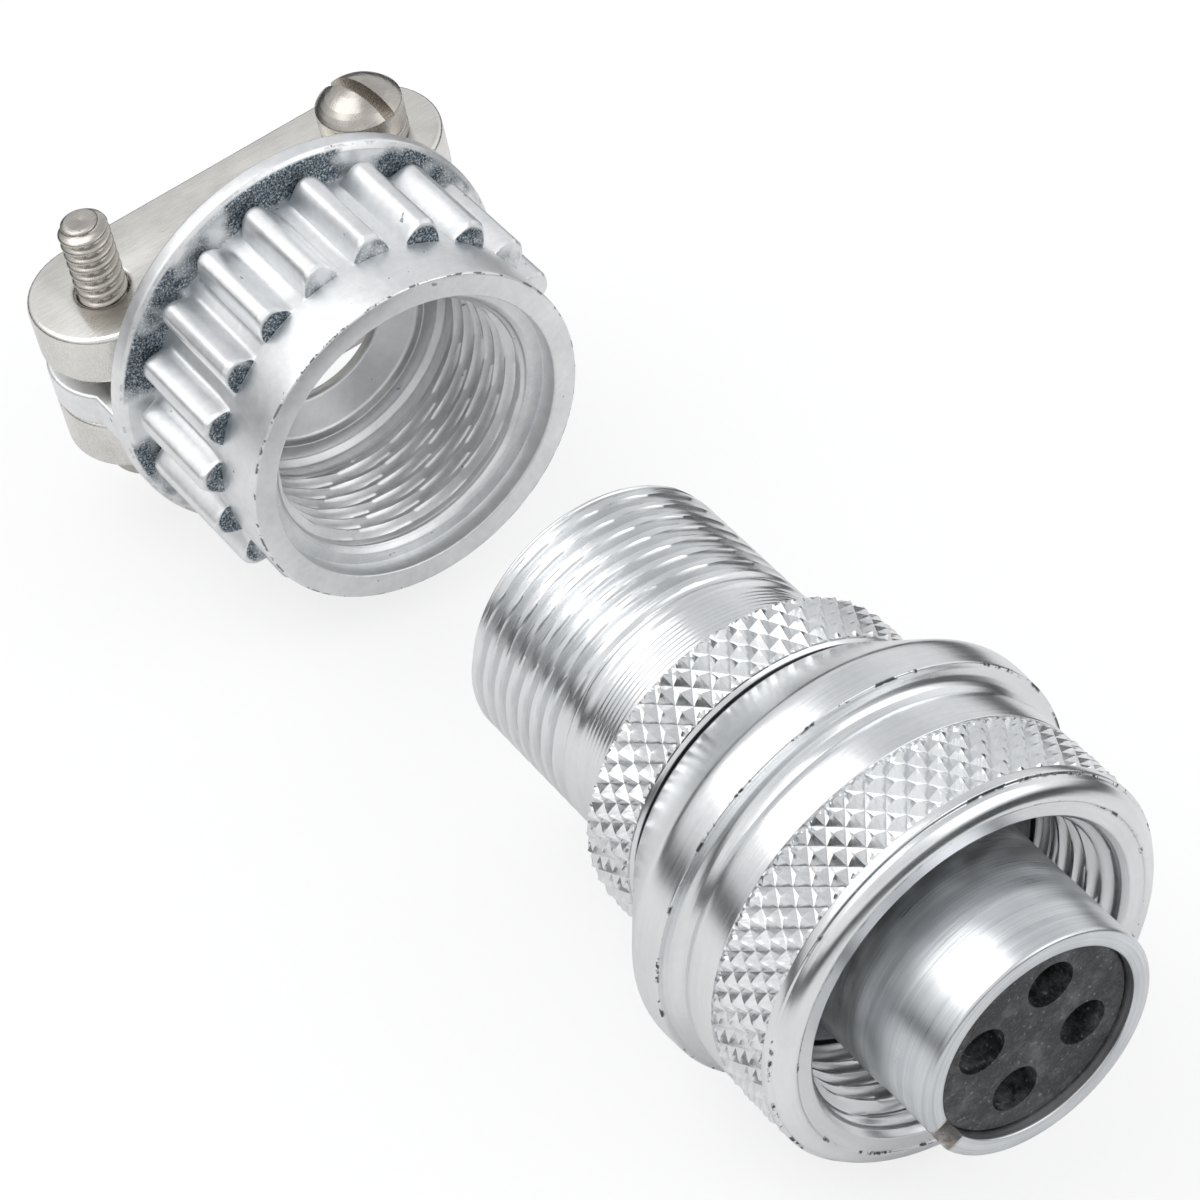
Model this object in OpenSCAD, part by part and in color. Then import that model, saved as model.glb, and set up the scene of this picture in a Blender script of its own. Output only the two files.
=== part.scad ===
// Straight circular plug, four socket contacts, with its cable clamp drawn back.
// +X runs along the connector's axis towards the mating face, +Z is up.
// The origin is the centre of the barrel's rim. All sizes are in millimetres.

/* [Front shell] */
// Outside diameter of the barrel that enters the receptacle
barrel_d = 16; // [15.4:0.1:16.6]
// Wall of the barrel
barrel_wall = 1.2; // [1:0.05:1.4]
// Depth of the barrel's rim in front of the coupling nut
nose_len = 6; // [4:0.1:8]
// Diameter of the collar that the coupling nut pulls on
collar_d = 20.6; // [20:0.1:21]
// Thickness of the collar
collar_len = 2.4; // [1.6:0.1:3]
// Diameter of the front shell's threaded neck
neck_d = 16.8; // [16.2:0.1:17.4]
// Length of the neck behind the collar
neck_len = 12; // [11:0.1:14]
// Width of the keyway in the rim
key_w = 2.4; // [1.6:0.1:3.2]
// Length of the keyway along the barrel
key_len = 6; // [3:0.1:8]
// Turn of the keyway from the top, about the axis
key_angle = 120; // [90:5:150]

/* [Coupling nut] */
// Largest diameter of the nut, behind its sharp ring
nut_d = 29.9; // [29.4:0.1:31]
// Diameter of the nut's smooth bands, beside its knurl
nut_band_d = 27.8; // [27:0.1:28.6]
// Length of the nut
nut_len = 17.8; // [17:0.1:19]
// Diameter of the nut's rear lip
nut_lip_d = 23; // [22:0.1:24.5]
// Major diameter of the coupling thread
coupling_d = 22.2; // [21.6:0.1:22.8]
// Depth of the coupling thread behind the nut's face
coupling_len = 7.8; // [7:0.1:8.4]
// Length of the smooth band at the nut's front
nut_front_band = 1.6; // [1.4:0.1:2.2]
// Length of the nut's knurled band
nut_knurl_len = 4.9; // [3:0.1:5.2]
// Length of the smooth band behind the knurl
nut_band_len = 2; // [1.4:0.1:2.4]
// Diamonds around the nut
nut_knurl_count = 58; // [40:2:80]
// Rows of diamonds along the nut
nut_knurl_rows = 5; // [3:1:7]
// Depth of the groove in front of the sharp ring
nut_groove = 0.6; // [0.3:0.05:0.9]

/* [Rear shell] */
// Major diameter of the clamp thread on the rear shell
rear_thread_d = 19.05; // [18.6:0.05:19.4]
// Length of the rear thread
rear_thread_len = 11.4; // [9:0.1:12.5]
// Length of the plain neck in front of the rear thread
rear_neck_len = 4.4; // [3.4:0.1:6]
// Diameter over the rear shell's knurl
grip_d = 23.4; // [22.8:0.1:24]
// Length of the rear shell's knurl
grip_len = 4.7; // [3.6:0.1:6]
// Diamonds around the rear shell
grip_count = 50; // [36:2:60]
// Rows of diamonds along the rear shell
grip_rows = 4; // [3:1:6]
// Diameter of the passage for the wires
wireway_d = 15.4; // [14:0.1:15.8]
// Gap between the nut and the rear shell
nut_gap = 0.4; // [0.3:0.05:0.8]

/* [Knurls] */
// Height of a knurl's diamonds
knurl_depth = 0.45; // [0.3:0.05:0.6]

/* [Inserts and contacts] */
// Depth of the insert's face behind the rim
insert_recess = 0.7; // [0.4:0.1:2]
// Length of the front insert
front_insert_len = 11; // [10:0.1:12]
// Length of the rear insert
rear_insert_len = 8; // [6:0.1:9]
// Diameter of the rear insert
rear_insert_d = 14; // [13.8:0.1:14.4]
// Radius of the circle that the contacts stand on
contact_circle_r = 3.8; // [3.6:0.05:4]
// Diameter of the holes in the insert's face
face_hole_d = 3.2; // [3.1:0.05:3.4]
// Diameter of a mating pin
pin_d = 1.6; // [1.4:0.05:1.8]
// Outside diameter of a contact's socket end
socket_d = 2.6; // [2.5:0.05:2.7]
// Outside diameter of a contact's sleeve
sleeve_d = 3; // [2.9:0.05:3.05]
// Length of a contact's sleeve
sleeve_len = 5; // [4:0.1:6]
// Depth of the socket behind the insert's face
socket_recess = 3.2; // [2:0.1:4]
// Length of the wire cup behind the rear insert
cup_len = 5; // [3:0.1:6]
// Thickness of the ring that keeps the inserts in
snap_t = 0.9; // [0.7:0.1:1.1]

/* [Clamp body] */
// Gap between the clamp's mouth and the rear thread, as taken off
clamp_gap = 20.4; // [4:0.1:40]
// Turn of the taken-off clamp about the axis
clamp_roll = 11; // [0:1:20]
// Outside diameter of the mouth ring
mouth_d = 24.9; // [24.4:0.1:25.6]
// Length of the mouth ring
mouth_len = 4.2; // [3:0.1:5]
// Diameter of the counterbore in the mouth
counterbore_d = 21.4; // [20.6:0.1:22]
// Depth of the counterbore
counterbore_len = 1.4; // [0.8:0.1:2]
// Depth of the clamp thread, from the mouth to its shoulder
clamp_thread_len = 12; // [11:0.1:12.4]
// Diameter over the ribs
rib_d = 27.8; // [27.2:0.1:28.4]
// Length of the ribs
rib_len = 8.8; // [8.8:0.1:12]
// Number of ribs
rib_count = 20; // [16:1:24]
// Diameter of the flange
flange_d = 29.6; // [29:0.1:31]
// Thickness of the flange
flange_t = 1.5; // [1.2:0.1:2.5]
// Diameter of the cable hole in the rear wall
cable_hole_d = 11.2; // [10:0.1:12]

/* [Clamp bars and screws] */
// Distance between the two screws
screw_span = 21.2; // [20.6:0.1:22]
// Distance from the flange to the screws
screw_setback = 6; // [5.8:0.1:7]
// Width of the bars and arms along the axis
bar_w = 10.4; // [9.6:0.1:11]
// Thickness of the arms
arm_t = 2.7; // [2:0.1:3.2]
// Width of the gap between the arms
arm_gap = 13; // [12.4:0.1:13.6]
// Thickness of a bar's ends
bar_t = 4; // [3.4:0.1:4.6]
// Gap between the upper bar and the arms
bar_lift = 1.25; // [1.25:0.05:2]
// Diameter of the hollow that holds the cable
jaw_d = 8.4; // [7:0.1:9]
// Major diameter of the screws
screw_d = 3.5; // [3:0.1:3.8]
// Length of the screws under their heads
screw_len = 19; // [17:0.5:22]
// Diameter of the screw heads
head_d = 6; // [5.6:0.1:6.6]
// Height of the screw heads
head_h = 3.4; // [3.2:0.1:4.2]
// Thickness of the lock washers
washer_t = 1; // [0.8:0.1:1.3]

/* [Hidden] */
$fn = 96;

// Clearances
thread_play = 0.1;     // a threaded bore's radius over its mate's
run_play = 0.08;       // the nut's bore over the shell's neck
slip_play = 0.3;       // the nut's bore over the shell's collar
seat_play = 0.05;      // pieces that are pressed or dropped in
end_play = 0.3;        // the nut's shoulder behind the collar
hole_play = 0.25;      // a screw's clearance hole
tapped_play = 0.05;    // a tapped hole's radius over its screw
bar_play = 0.1;        // each bar's jaw short of the arms' middle plane
jaw_play = 0.4;        // the jaws' sides from the arms
edge = 0.4;            // chamfer on turned edges
bury = 0.15;           // how far a knurl's ends run under their shoulders
dip = 0.03;            // how far its first and last rows do
over = 1;              // how far a cut runs past a face

// Thread turns on the rear shell, cut as rings: 20 to the inch
thread_pitch = 1.27;
thread_depth = 0.7;
thread_flank = 0.4;    // each flank's run along the axis
thread_root = 0.2;     // width of each groove's floor
thread_start = 1;      // from the neck to the first groove's middle
thread_turns = floor((rear_thread_len - thread_start - thread_flank - edge) / thread_pitch) + 1;

// Plug stations: distances behind the rim
collar_x = nose_len + coupling_len;
neck_end_x = collar_x + collar_len + neck_len;
nut_face_x = nose_len;
nut_rear_x = nut_face_x + nut_len;
grip_x = nut_rear_x + nut_gap;
rear_neck_x = grip_x + grip_len;
rear_thread_x = rear_neck_x + rear_neck_len;
plug_len = rear_thread_x + rear_thread_len;

// Front shell
barrel_bore_r = barrel_d / 2 - barrel_wall;
insert_r = barrel_bore_r - seat_play;
rear_bore_r = rear_insert_d / 2 + seat_play;
front_insert_end = insert_recess + front_insert_len;
rear_insert_end = front_insert_end + rear_insert_len;
snap_x = rear_insert_end + seat_play;
snap_groove = 0.5;
snap_w = 1.5;          // width of the retaining ring's band
snap_gap = 3;          // its split
shell_step = 2;        // the bore's step ahead of the joint between the inserts

// Coupling nut
nut_bore_r = neck_d / 2 + run_play;
nut_shoulder_x = collar_x + collar_len + end_play;
nut_band_r = nut_band_d / 2;
nut_knurl_x = nut_face_x + nut_front_band;
nut_band_x = nut_knurl_x + nut_knurl_len;
nut_groove_x = nut_band_x + nut_band_len;
nut_groove_w = 1;      // half the groove's width
nut_ring_x = nut_groove_x + 2 * nut_groove_w;
nut_ring_rise = 0.1;   // from the sharp ring to the largest diameter
nut_shoulder_w = 2.4;  // from the ring to where the rear tapers
nut_flare_x = nut_ring_x + nut_shoulder_w;
nut_face_edge = 1.2;   // radial width of the face's rounded edge
nut_face_step = 0.2;   // the small step behind it
nut_face_round = 0.95; // length of the rounded edge
nut_mouth_edge = 0.3;  // chamfer of the thread's mouth
knurl_rise = 0.1;      // the nut's diamonds over its smooth bands
knurl_bed = 0.5;       // how deep the knurl sits in its turned seat

// Rear shell
grip_r = grip_d / 2;
shell_seat_r = neck_d / 2 + seat_play;
wireway_r = wireway_d / 2;

// Contacts
face_hole_r = face_hole_d / 2;
contact_r = socket_d / 2;
contact_flange_r = 1.75;
contact_flange_t = 1.2;
socket_x = insert_recess + socket_recess;
socket_depth = 8;
cup_end = rear_insert_end + cup_len;
cup_depth = 4;
cup_wall = 0.35;
cup_opening = 1.1;     // how far the cup's open side is cut down
spring_slot = 0.4;
slot_floor = 2;        // from the slot's end to the bottom of the socket
insert_floor = 3;      // rubber left ahead of the joint, round the contacts

// Clamp stations: distances behind its mouth
mouth_x = plug_len + clamp_gap;
rib_x = mouth_len;
flange_x = rib_x + rib_len;
flange_end = flange_x + flange_t;
screw_x = flange_end + screw_setback;
mouth_r = mouth_d / 2;
valley_r = mouth_r - 0.25;
flange_r = flange_d / 2;
clamp_bore_r = rear_thread_d / 2 + thread_play / 2;
shoulder_x = clamp_thread_len;
shoulder_r = clamp_bore_r - 1.55;
shoulder_cone_x = shoulder_x + 0.6;
cable_land = 0.8;      // length of the cable hole's plain wall

// Bars and screws, from the clamp's axis
bar_end_r = bar_w / 2;
upper_bar_z = arm_t / 2 + bar_lift;
upper_top_z = upper_bar_z + bar_t;
lower_bar_z = -arm_t / 2;
lower_bottom_z = lower_bar_z - bar_t;
jaw_drop = arm_t / 2 - bar_play;
jaw_w = arm_gap - 2 * jaw_play;
screw_r = screw_d / 2;
tapped_r = screw_r + tapped_play;
arm_inset = 1.2;       // the arms' outer sides from the bars' ends
jaw_skin = 1.6;        // metal left over the jaw's hollow
washer_gap = 0.6;      // each lock washer's split
washer_turn = 70;      // where the split lies
left_slot_turn = 25;   // where each screw's slot came to rest
right_slot_turn = 15;
clear_r = screw_r + hole_play;
washer_r = head_d / 2 + 0.05;

// Turns a profile of [distance behind the rim, radius] points about the axis
module turned(points) {
    rotate([0, 90, 0])
        rotate_extrude()
            polygon([for (p = points) [p[1], -p[0]]]);
}

// A disc or rod from one station back to another
module rod(x1, x2, r) {
    translate([-x2, 0, 0])
        rotate([0, 90, 0])
            cylinder(h = x2 - x1, r = r);
}

// Places children on the contact circle, half way between the keyway's quarters
module at_contact(i) {
    rotate([key_angle + 45 + 90 * i, 0, 0])
        translate([0, 0, contact_circle_r])
            children();
}

// The keyway's cut, from the rim back
module keyway(depth_r) {
    rotate([key_angle, 0, 0])
        translate([-key_len, -key_w / 2, depth_r])
            cube([key_len + over, key_w, barrel_d]);
}

// A band of knurled diamonds. Lattice points alternate between peaks and the
// bottoms where the two sets of cuts cross; the ends dip under their shoulders.
module knurl_band(x, len, r, count, rows) {
    n = 2 * count;
    low = r - knurl_depth;
    end_r = low - 0.3;
    core = low - 0.9;
    xs = concat([x - bury], [for (j = [0:rows]) x - dip + (len + 2 * dip) * j / rows], [x + len + bury]);
    last = rows + 2;
    radius = function (i, j)
        j == 0 || j == last ? end_r
        : (i + j) % 2 == 0 ? low
        : j == 1 || j == last - 1 ? low + knurl_depth / 4
        : r;
    outer = [for (j = [0:last]) for (i = [0:n - 1])
        [-xs[j], radius(i, j) * cos(360 * i / n), radius(i, j) * sin(360 * i / n)]];
    inner = [for (j = [0, last]) for (i = [0:n - 1])
        [-xs[j], core * cos(360 * i / n), core * sin(360 * i / n)]];
    at = function (i, j) j * n + i % n;
    in_front = function (i) (last + 1) * n + i % n;
    in_rear = function (i) (last + 2) * n + i % n;
    // Each lattice cell is split along its groove, so diamonds keep flat flanks
    skin = [for (j = [0:last - 1]) for (i = [0:n - 1]) each
        ((i + j) % 2 == 0
            ? [[at(i, j), at(i + 1, j), at(i + 1, j + 1)], [at(i, j), at(i + 1, j + 1), at(i, j + 1)]]
            : [[at(i, j), at(i + 1, j), at(i, j + 1)], [at(i + 1, j), at(i + 1, j + 1), at(i, j + 1)]])];
    ends = [for (i = [0:n - 1]) each
        [[at(i, 0), in_front(i), at(i + 1, 0)], [at(i + 1, 0), in_front(i), in_front(i + 1)],
         [at(i, last), at(i + 1, last), in_rear(i)], [at(i + 1, last), in_rear(i + 1), in_rear(i)]]];
    core_skin = [for (i = [0:n - 1]) each
        [[in_front(i), in_rear(i), in_front(i + 1)], [in_front(i + 1), in_rear(i), in_rear(i + 1)]]];
    polyhedron(concat(outer, inner), concat(skin, ends, core_skin));
}

// Barrel, collar and threaded neck, turned in one piece
module front_shell() {
    color("silver")
    difference() {
        turned([
            [0, barrel_bore_r], [0, barrel_d / 2 - edge / 2], [edge / 2, barrel_d / 2],
            [collar_x, barrel_d / 2], [collar_x, collar_d / 2 - edge], [collar_x + edge, collar_d / 2],
            [collar_x + collar_len, collar_d / 2], [collar_x + collar_len, neck_d / 2],
            [neck_end_x - edge, neck_d / 2], [neck_end_x, neck_d / 2 - edge], [neck_end_x, rear_bore_r],
            [snap_x + snap_t + seat_play, rear_bore_r], [snap_x + snap_t + seat_play, rear_bore_r + snap_groove],
            [snap_x - seat_play, rear_bore_r + snap_groove], [snap_x - seat_play, rear_bore_r],
            [front_insert_end - shell_step, rear_bore_r], [front_insert_end - shell_step, barrel_bore_r]
        ]);
        keyway(barrel_bore_r - over);
    }
}

// Free-turning nut: tapered rear, sharp ring, groove, knurled band and rounded face
module coupling_nut() {
    knurl_floor = nut_band_r - knurl_depth - knurl_bed;
    top_r = nut_d / 2;
    ring_r = top_r - nut_ring_rise;
    groove_r = nut_band_r - nut_groove;
    lip_r = nut_lip_d / 2;
    color("lightsteelblue")
    union() {
        turned([
            [nut_face_x, coupling_d / 2 + nut_mouth_edge],
            for (a = [0:15:90]) [nut_face_x + nut_face_round * (1 - cos(a)),
                                 nut_band_r - nut_face_edge + (nut_face_edge - nut_face_step) * sin(a)],
            [nut_face_x + nut_face_round, nut_band_r], [nut_knurl_x, nut_band_r], [nut_knurl_x, knurl_floor],
            [nut_band_x, knurl_floor], [nut_band_x, nut_band_r],
            for (a = [0:15:90]) [nut_groove_x + nut_groove_w * sin(a), nut_band_r - nut_groove * (1 - cos(a))],
            for (a = [30:15:90]) [nut_ring_x - nut_groove_w + nut_groove_w * sin(a),
                                  groove_r + (ring_r - groove_r) * (1 - cos(a))],
            [nut_ring_x + nut_ring_rise, ring_r], [nut_flare_x - edge, top_r], [nut_flare_x, top_r - edge / 4],
            [nut_rear_x - edge, lip_r + edge / 2], [nut_rear_x, lip_r - edge / 2],
            [nut_rear_x, nut_bore_r], [nut_shoulder_x, nut_bore_r], [nut_shoulder_x, collar_d / 2 + slip_play],
            [collar_x, collar_d / 2 + slip_play], [collar_x, coupling_d / 2],
            [nut_face_x + nut_mouth_edge, coupling_d / 2]
        ]);
        knurl_band(nut_knurl_x, nut_knurl_len, nut_band_r + knurl_rise, nut_knurl_count, nut_knurl_rows);
    }
}

// Knurled shell that screws over the neck and carries the clamp thread
module rear_shell() {
    grip_floor = grip_r - knurl_depth - 0.6;
    grip_edge = 0.25;
    thread_r = rear_thread_d / 2;
    neck_r = thread_r - 0.15;
    seat_end = neck_end_x + seat_play;
    color("gainsboro")
    union() {
        turned([
            [grip_x, shell_seat_r], [grip_x, grip_r - 0.6], [grip_x + grip_edge, grip_r - 0.35],
            [grip_x + grip_edge, grip_floor], [rear_neck_x - grip_edge, grip_floor],
            [rear_neck_x - grip_edge, grip_r - 0.35], [rear_neck_x, grip_r - 0.6],
            [rear_neck_x, neck_r], [rear_thread_x, neck_r], [rear_thread_x + 0.15, thread_r],
            for (k = [0:thread_turns - 1]) let (x = rear_thread_x + thread_start + thread_pitch * k) each [
                [x - thread_root / 2 - thread_flank, thread_r], [x - thread_root / 2, thread_r - thread_depth],
                [x + thread_root / 2, thread_r - thread_depth], [x + thread_root / 2 + thread_flank, thread_r]],
            [plug_len - edge, thread_r], [plug_len, thread_r - edge],
            [plug_len, wireway_r], [seat_end, wireway_r], [seat_end, shell_seat_r]
        ]);
        knurl_band(grip_x + grip_edge, grip_len - 2 * grip_edge, grip_r, grip_count, grip_rows);
    }
}

// Front block of the insert, with a stepped hole for each socket
module front_insert() {
    step_r = rear_bore_r - seat_play;
    color("dimgray")
    difference() {
        turned([
            [insert_recess, 0], [insert_recess, insert_r - 0.15], [insert_recess + 0.15, insert_r],
            [front_insert_end - shell_step + seat_play, insert_r],
            [front_insert_end - shell_step + seat_play, step_r],
            [front_insert_end, step_r], [front_insert_end, 0]
        ]);
        for (i = [0:3])
            at_contact(i) {
                rod(insert_recess - over, front_insert_end - insert_floor, face_hole_r);
                rod(front_insert_end - insert_floor - over, front_insert_end + over, contact_r + seat_play);
                rod(front_insert_end - contact_flange_t / 2 - seat_play, front_insert_end + over,
                    contact_flange_r + seat_play);
            }
    }
}

// Rear block of the insert, behind which the wire cups stand out
module rear_insert() {
    start = front_insert_end + seat_play;
    color("darkslategray")
    difference() {
        rod(start, rear_insert_end, rear_insert_d / 2);
        for (i = [0:3])
            at_contact(i) {
                rod(start - over, rear_insert_end + over, contact_r + seat_play);
                rod(start - over, front_insert_end + contact_flange_t / 2 + seat_play,
                    contact_flange_r + seat_play);
            }
    }
}

// Split spring ring in the groove behind the rear insert
module insert_retaining_ring() {
    ring_r = rear_bore_r + snap_groove - seat_play;
    color("goldenrod")
    difference() {
        turned([[snap_x, ring_r - snap_w], [snap_x, ring_r], [snap_x + snap_t, ring_r],
                [snap_x + snap_t, ring_r - snap_w]]);
        rotate([key_angle, 0, 0])
            translate([-snap_x - snap_t - over, -snap_gap / 2, 0])
                cube([snap_t + 2 * over, snap_gap, ring_r + over]);
    }
}

// Machined contact: slotted socket, locating flange and wire cup
module socket_contact(i) {
    flange_x1 = front_insert_end - contact_flange_t / 2;
    flange_x2 = front_insert_end + contact_flange_t / 2;
    color("gold")
    at_contact(i)
    difference() {
        turned([
            [socket_x, pin_d / 2 + 0.15], [socket_x, contact_r - 0.1], [socket_x + 0.2, contact_r],
            [flange_x1, contact_r], [flange_x1, contact_flange_r], [flange_x2, contact_flange_r],
            [flange_x2, contact_r], [cup_end, contact_r], [cup_end, contact_r - cup_wall],
            [cup_end - cup_depth, contact_r - cup_wall], [cup_end - cup_depth, 0],
            [socket_x + socket_depth - 0.6, 0], [socket_x + socket_depth - 1, pin_d / 2],
            [socket_x + 0.3, pin_d / 2]
        ]);
        // Spring slot across the socket
        translate([-socket_x - socket_depth + slot_floor, -spring_slot / 2, -contact_r - over])
            cube([socket_depth, spring_slot, 2 * contact_r + 2 * over]);
        // Open side of the wire cup
        translate([-cup_end - over, -contact_r, contact_r - cup_opening])
            cube([cup_depth - 1 + over, 2 * contact_r, cup_opening + over]);
    }
}

// Thin sleeve that closes round the socket's spring slots
module contact_sleeve(i) {
    color("lightgray")
    at_contact(i)
    turned([
        [socket_x - 0.3, pin_d / 2 + 0.1], [socket_x - 0.3, sleeve_d / 2], [socket_x - 0.3 + sleeve_len, sleeve_d / 2],
        [socket_x - 0.3 + sleeve_len, contact_r + 0.02], [socket_x - seat_play, contact_r + 0.02],
        [socket_x - seat_play, pin_d / 2 + 0.1]
    ]);
}

// Moves the clamp's own frame, measured from its mouth, to where it lies
module at_clamp() {
    translate([-mouth_x, 0, 0])
        rotate([clamp_roll, 0, 0])
            children();
}

// Outline of the rib ring: rounded teeth on a round core
module rib_outline() {
    steps = 10;
    half = 0.34;
    rise = rib_d / 2 - valley_r;
    tooth = function (t) t > half ? 0 : 1 - pow(t / half, 3);
    difference() {
        polygon([for (i = [0:rib_count * steps - 1])
            let (a = 360 * i / (rib_count * steps),
                 t = abs((i % steps) / steps - 0.5),
                 r = valley_r + rise * tooth(t))
            r * [cos(a), sin(a)]]);
        circle(r = valley_r - 1);
    }
}

// A bar's outline seen from above: straight with round ends
module bar_outline() {
    translate([-screw_x, 0]) {
        square([bar_w, screw_span], center = true);
        for (side = [-1, 1])
            translate([0, side * screw_span / 2])
                circle(r = bar_end_r);
    }
}

// The two arms: the bar's outline with the cable's way cut out
module arms() {
    translate([0, 0, -arm_t / 2])
        linear_extrude(arm_t)
            difference() {
                union() {
                    bar_outline();
                    translate([-screw_x, -screw_span / 2 - bar_end_r + arm_inset])
                        square([screw_x - flange_end + flange_t / 2, screw_span + 2 * bar_end_r - 2 * arm_inset]);
                }
                translate([-screw_x - bar_w, -arm_gap / 2])
                    square([bar_w + screw_x - flange_end + flange_t, arm_gap]);
                for (side = [-1, 1])
                    translate([-screw_x, side * screw_span / 2])
                        circle(r = clear_r);
            }
}

// Die-cast body: mouth ring, ribs, flange and the arms that carry the bars
module clamp_body() {
    core_r = valley_r - 0.6;
    color("whitesmoke")
    at_clamp()
    union() {
        turned([
            [0, counterbore_d / 2], [0, mouth_r - 0.2], [0.2, mouth_r], [mouth_len, mouth_r],
            [mouth_len, core_r], [flange_x, core_r], [flange_x, flange_r - 0.5],
            [flange_x + 0.5, flange_r], [flange_end, flange_r], [flange_end, cable_hole_d / 2],
            [flange_end - cable_land, cable_hole_d / 2], [shoulder_cone_x, shoulder_r],
            [shoulder_x, shoulder_r], [shoulder_x, clamp_bore_r],
            [counterbore_len + 0.35, clamp_bore_r], [counterbore_len, clamp_bore_r + 0.35],
            [counterbore_len, counterbore_d / 2]
        ]);
        translate([-flange_x - flange_t / 2, 0, 0])
            rotate([0, 90, 0])
                linear_extrude(flange_x + flange_t / 2 - rib_x + 0.2)
                    rib_outline();
        arms();
    }
}

// Bar with a hollowed jaw that reaches down between the arms
module clamp_bar(top_z, tapped_side) {
    difference() {
        union() {
            translate([0, 0, top_z - bar_t])
                linear_extrude(bar_t)
                    bar_outline();
            translate([-screw_x - bar_w / 2, -jaw_w / 2, top_z - bar_t - jaw_drop])
                cube([bar_w, jaw_w, bar_t]);
        }
        translate([0, 0, top_z - jaw_skin - jaw_d / 2])
            rod(screw_x - bar_w, screw_x + bar_w, jaw_d / 2);
        for (side = [-1, 1])
            translate([-screw_x, side * screw_span / 2, top_z - bar_t - over])
                cylinder(h = bar_t + 2 * over, r = side == tapped_side ? tapped_r : clear_r);
    }
}

module upper_clamp_bar() {
    color("tan")
    at_clamp()
    clamp_bar(upper_top_z, -1);
}

// The same bar turned over, so its tapped hole is on the other side
module lower_clamp_bar() {
    color("burlywood")
    at_clamp()
    mirror([0, 0, 1])
        clamp_bar(-lower_bottom_z, 1);
}

// Slotted cheese-head screw, standing on its head's underside, point down
module clamp_screw() {
    dome_h = 1.5;
    dome_r = (pow(head_d / 2, 2) + pow(dome_h, 2)) / (2 * dome_h);
    side_h = head_h - dome_h;
    slot_w = 0.9;
    slot_h = 1.7;
    difference() {
        rotate_extrude()
            polygon([
                [0, -screw_len], [screw_r - edge, -screw_len], [screw_r, -screw_len + edge], [screw_r, 0],
                [head_d / 2 - 0.15, 0], [head_d / 2, 0.15],
                for (t = [0:0.125:1]) let (r = head_d / 2 * (1 - t))
                    [r, side_h + sqrt(pow(dome_r, 2) - r * r) - (dome_r - dome_h)]
            ]);
        translate([-head_d, -slot_w / 2, head_h - slot_h])
            cube([2 * head_d, slot_w, slot_h + over]);
    }
}

// Split spring washer: a square ring with one cut
module lock_washer() {
    difference() {
        cylinder(h = washer_t - 0.02, r = washer_r);
        translate([0, 0, -over])
            cylinder(h = washer_t + 2 * over, r = clear_r);
        rotate([0, 0, washer_turn])
            translate([0, -washer_gap / 2, -over])
                cube([washer_r + over, washer_gap, washer_t + 2 * over]);
    }
}

// The left screw comes up from below, its head under the lower bar
module left_clamp_screw() {
    color("darkkhaki")
    at_clamp()
    translate([-screw_x, -screw_span / 2, lower_bottom_z - washer_t])
        rotate([180, 0, 0])
            rotate([0, 0, left_slot_turn])
                clamp_screw();
}

// The right screw goes down from above, its head on the upper bar
module right_clamp_screw() {
    color("khaki")
    at_clamp()
    translate([-screw_x, screw_span / 2, upper_top_z + washer_t])
        rotate([0, 0, right_slot_turn])
            clamp_screw();
}

module left_lock_washer() {
    color("gray")
    at_clamp()
    translate([-screw_x, -screw_span / 2, lower_bottom_z])
        rotate([180, 0, 0])
            lock_washer();
}

module right_lock_washer() {
    color("gray")
    at_clamp()
    translate([-screw_x, screw_span / 2, upper_top_z])
        lock_washer();
}

front_shell();
coupling_nut();
rear_shell();
front_insert();
rear_insert();
insert_retaining_ring();
socket_contact(0);  // socket_contact_1
socket_contact(1);  // socket_contact_2
socket_contact(2);  // socket_contact_3
socket_contact(3);  // socket_contact_4
contact_sleeve(0);  // contact_sleeve_1
contact_sleeve(1);  // contact_sleeve_2
contact_sleeve(2);  // contact_sleeve_3
contact_sleeve(3);  // contact_sleeve_4
clamp_body();
upper_clamp_bar();
lower_clamp_bar();
left_clamp_screw();
right_clamp_screw();
left_lock_washer();
right_lock_washer();
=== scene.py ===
import math

import bpy
import numpy as np
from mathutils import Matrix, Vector
from mathutils.geometry import tessellate_polygon


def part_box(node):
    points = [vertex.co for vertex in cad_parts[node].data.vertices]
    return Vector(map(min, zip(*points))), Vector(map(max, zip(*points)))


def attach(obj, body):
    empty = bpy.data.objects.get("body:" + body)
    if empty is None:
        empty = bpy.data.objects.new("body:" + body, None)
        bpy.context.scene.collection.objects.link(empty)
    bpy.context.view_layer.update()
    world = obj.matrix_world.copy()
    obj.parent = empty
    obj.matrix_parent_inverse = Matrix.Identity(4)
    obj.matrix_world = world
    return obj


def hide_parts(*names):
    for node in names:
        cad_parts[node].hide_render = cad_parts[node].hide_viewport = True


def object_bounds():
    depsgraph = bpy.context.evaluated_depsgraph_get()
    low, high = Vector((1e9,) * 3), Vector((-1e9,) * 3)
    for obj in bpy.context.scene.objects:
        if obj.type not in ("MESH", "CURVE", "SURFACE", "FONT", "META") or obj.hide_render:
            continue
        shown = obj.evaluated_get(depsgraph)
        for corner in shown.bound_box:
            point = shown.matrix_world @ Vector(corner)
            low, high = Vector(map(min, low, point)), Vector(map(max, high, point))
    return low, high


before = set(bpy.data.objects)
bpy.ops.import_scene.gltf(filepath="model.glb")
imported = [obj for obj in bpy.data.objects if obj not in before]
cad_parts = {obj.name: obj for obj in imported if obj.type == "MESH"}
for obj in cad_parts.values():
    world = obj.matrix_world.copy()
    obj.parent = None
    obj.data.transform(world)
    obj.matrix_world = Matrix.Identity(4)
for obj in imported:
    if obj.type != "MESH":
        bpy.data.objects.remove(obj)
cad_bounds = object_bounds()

MM = 0.001


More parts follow.
